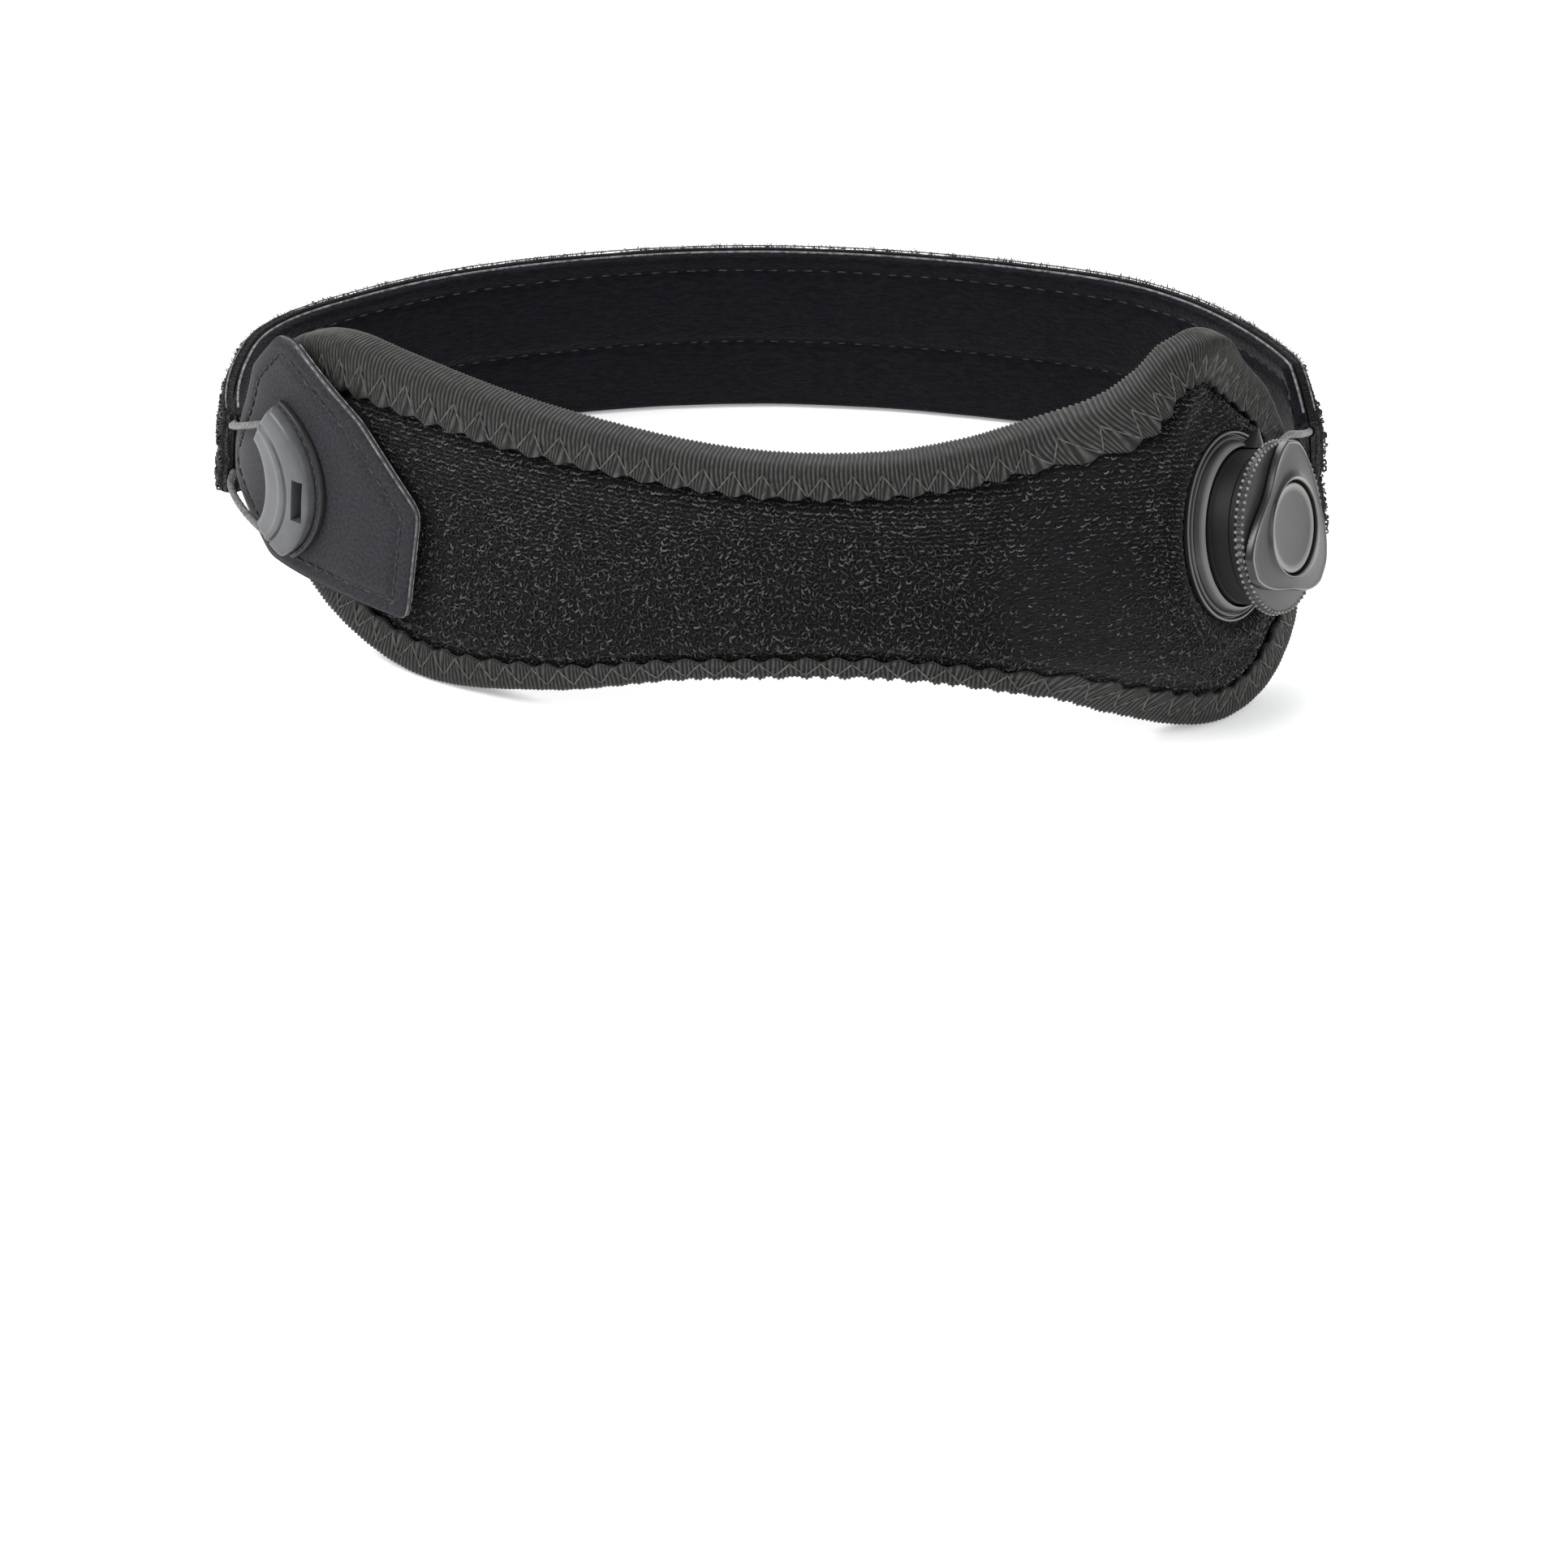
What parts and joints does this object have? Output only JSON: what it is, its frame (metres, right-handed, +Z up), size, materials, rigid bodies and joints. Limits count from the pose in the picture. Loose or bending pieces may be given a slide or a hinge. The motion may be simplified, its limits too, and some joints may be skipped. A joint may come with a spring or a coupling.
{
  "type": "patella strap",
  "caption": "Knee band: bow shaped plush pad closed into a loop by a rear strap and a thin lace that a ratchet dial tightens.",
  "frame": {"origin": "middle of the overall box, on the plane that the loop stands on", "axes": "+Z up, -Y to the front of the pad, +X to the dial"},
  "size_m": [0.1686, 0.114, 0.0571],
  "materials": {
    "plush": "black looped plush",
    "neoprene": "smooth dark grey violet cloth",
    "binding_tape": "ribbed charcoal tape",
    "fleece": "black brushed fleece",
    "microfibre": "smooth dark grey cloth",
    "hook_tape": "black hook fastener",
    "grey_plastic": "satin",
    "black_plastic": "satin",
    "lace_braid": "light grey braid",
    "dark_plastic": "satin",
    "cap_plastic": "satin"
  },
  "bodies": {
    "strap": {"pad_face": "plush", "pad_lining": "neoprene", "edge_binding": "binding_tape", "strap_outer": "plush", "strap_inner": "fleece", "anchor_tab": "microfibre", "hook_backing": "hook_tape", "lace_guide": "grey_plastic", "guide_flange": "black_plastic", "lace": "lace_braid", "dial_flange": "grey_plastic", "dial_housing": "black_plastic"},
    "release_stem": {"dial_disc": "cap_plastic"},
    "knob": {"dial_grip_ring": "dark_plastic", "dial_cap": "cap_plastic"}
  },
  "joints": [
    {"name": "dial_pull", "type": "slide", "parent": "strap", "child": "release_stem", "axis": [0.8684, -0.4329, 0.2419], "range_m": [0, 0.0025]},
    {"name": "dial_turn", "type": "hinge", "parent": "release_stem", "child": "knob", "pos_m": [0.07555, -0.041, 0.03034], "axis": [0.8684, -0.4329, 0.2419], "continuous": true}
  ]
}
